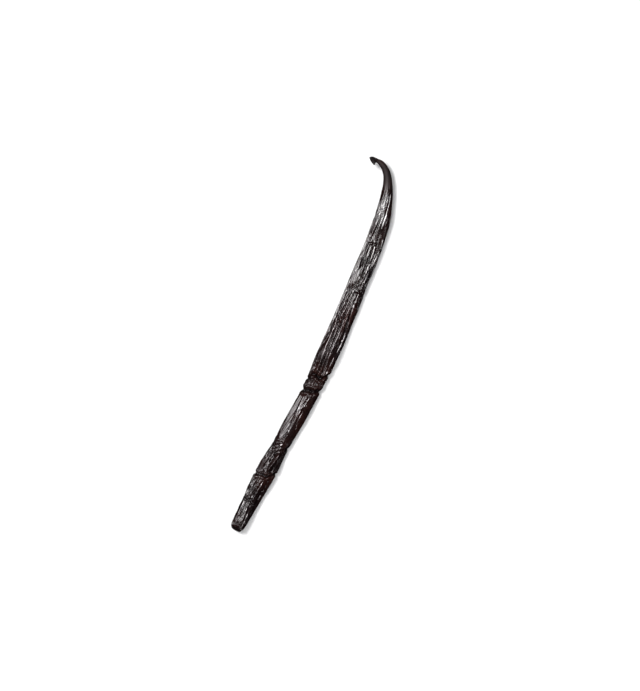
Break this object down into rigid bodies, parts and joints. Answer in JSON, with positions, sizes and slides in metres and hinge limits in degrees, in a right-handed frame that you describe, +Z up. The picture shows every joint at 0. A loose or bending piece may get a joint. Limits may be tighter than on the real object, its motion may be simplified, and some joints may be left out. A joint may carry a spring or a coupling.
{
  "type": "vanilla pod",
  "caption": "Long, thin cured vanilla pod, wrinkled and creased, gently bowed, with a blunt end and a tapered neck that hooks over to a small flared stem scar.",
  "frame": {"origin": "on the table under the middle of the pod's bounding box", "axes": "+Y along the pod towards its hooked stem end, +Z up from the table, +X to the pod's right as seen from above, the side away from the hook's tip"},
  "size_m": [0.0194, 0.1594, 0.007],
  "materials": {
    "pod_skin": "oily, nearly black cured skin"
  },
  "bodies": {
    "root": {"vanilla_pod": "pod_skin"}
  },
  "joints": []
}
